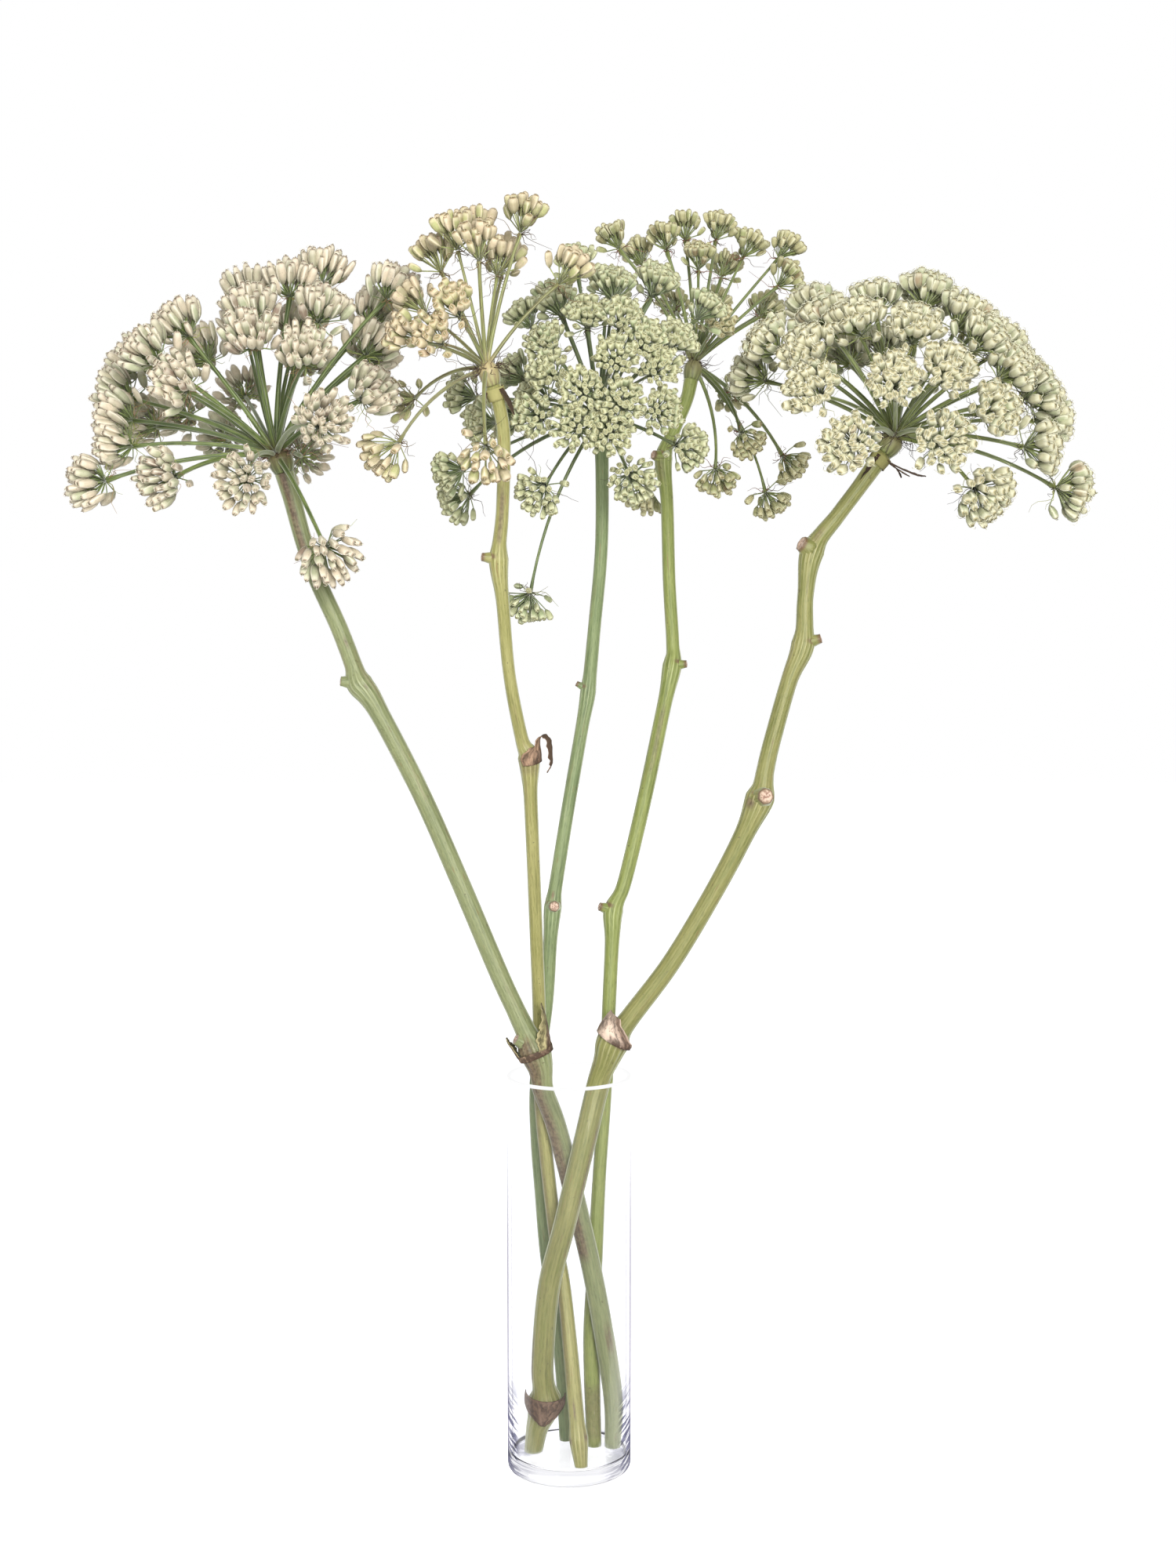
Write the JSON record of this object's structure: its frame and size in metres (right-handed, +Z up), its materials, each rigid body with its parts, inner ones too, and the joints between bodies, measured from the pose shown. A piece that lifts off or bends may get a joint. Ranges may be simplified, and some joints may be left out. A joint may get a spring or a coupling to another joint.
{
  "type": "giant fennel seed heads on cut stems in a glass cylinder vase",
  "caption": "Cut giant fennel stems with ripe seed heads, standing in a clear glass cylinder vase.",
  "frame": {"origin": "centre of the vase's underside, where it meets the table", "axes": "+Z up through the vase, +X to the right and +Y away from the viewer of the picture"},
  "size_m": [0.7436, 0.4297, 0.9624],
  "materials": {
    "glass": "gloss",
    "stem_green": "matte",
    "dry_leaf": "matte",
    "seed_head": "matte"
  },
  "bodies": {
    "root": {"vase": "glass", "stem_1": "stem_green", "stem_2": "stem_green", "stem_3": "stem_green", "stem_4": "stem_green", "stem_5": "stem_green", "sheath_1": "dry_leaf", "sheath_2": "dry_leaf", "sheath_5": "dry_leaf", "sheath_foot": "dry_leaf", "bracts_2": "dry_leaf", "bracts_5": "dry_leaf", "umbel_1": "seed_head", "umbel_2": "seed_head", "umbel_3": "seed_head", "umbel_4": "seed_head", "umbel_5": "seed_head"}
  },
  "joints": []
}
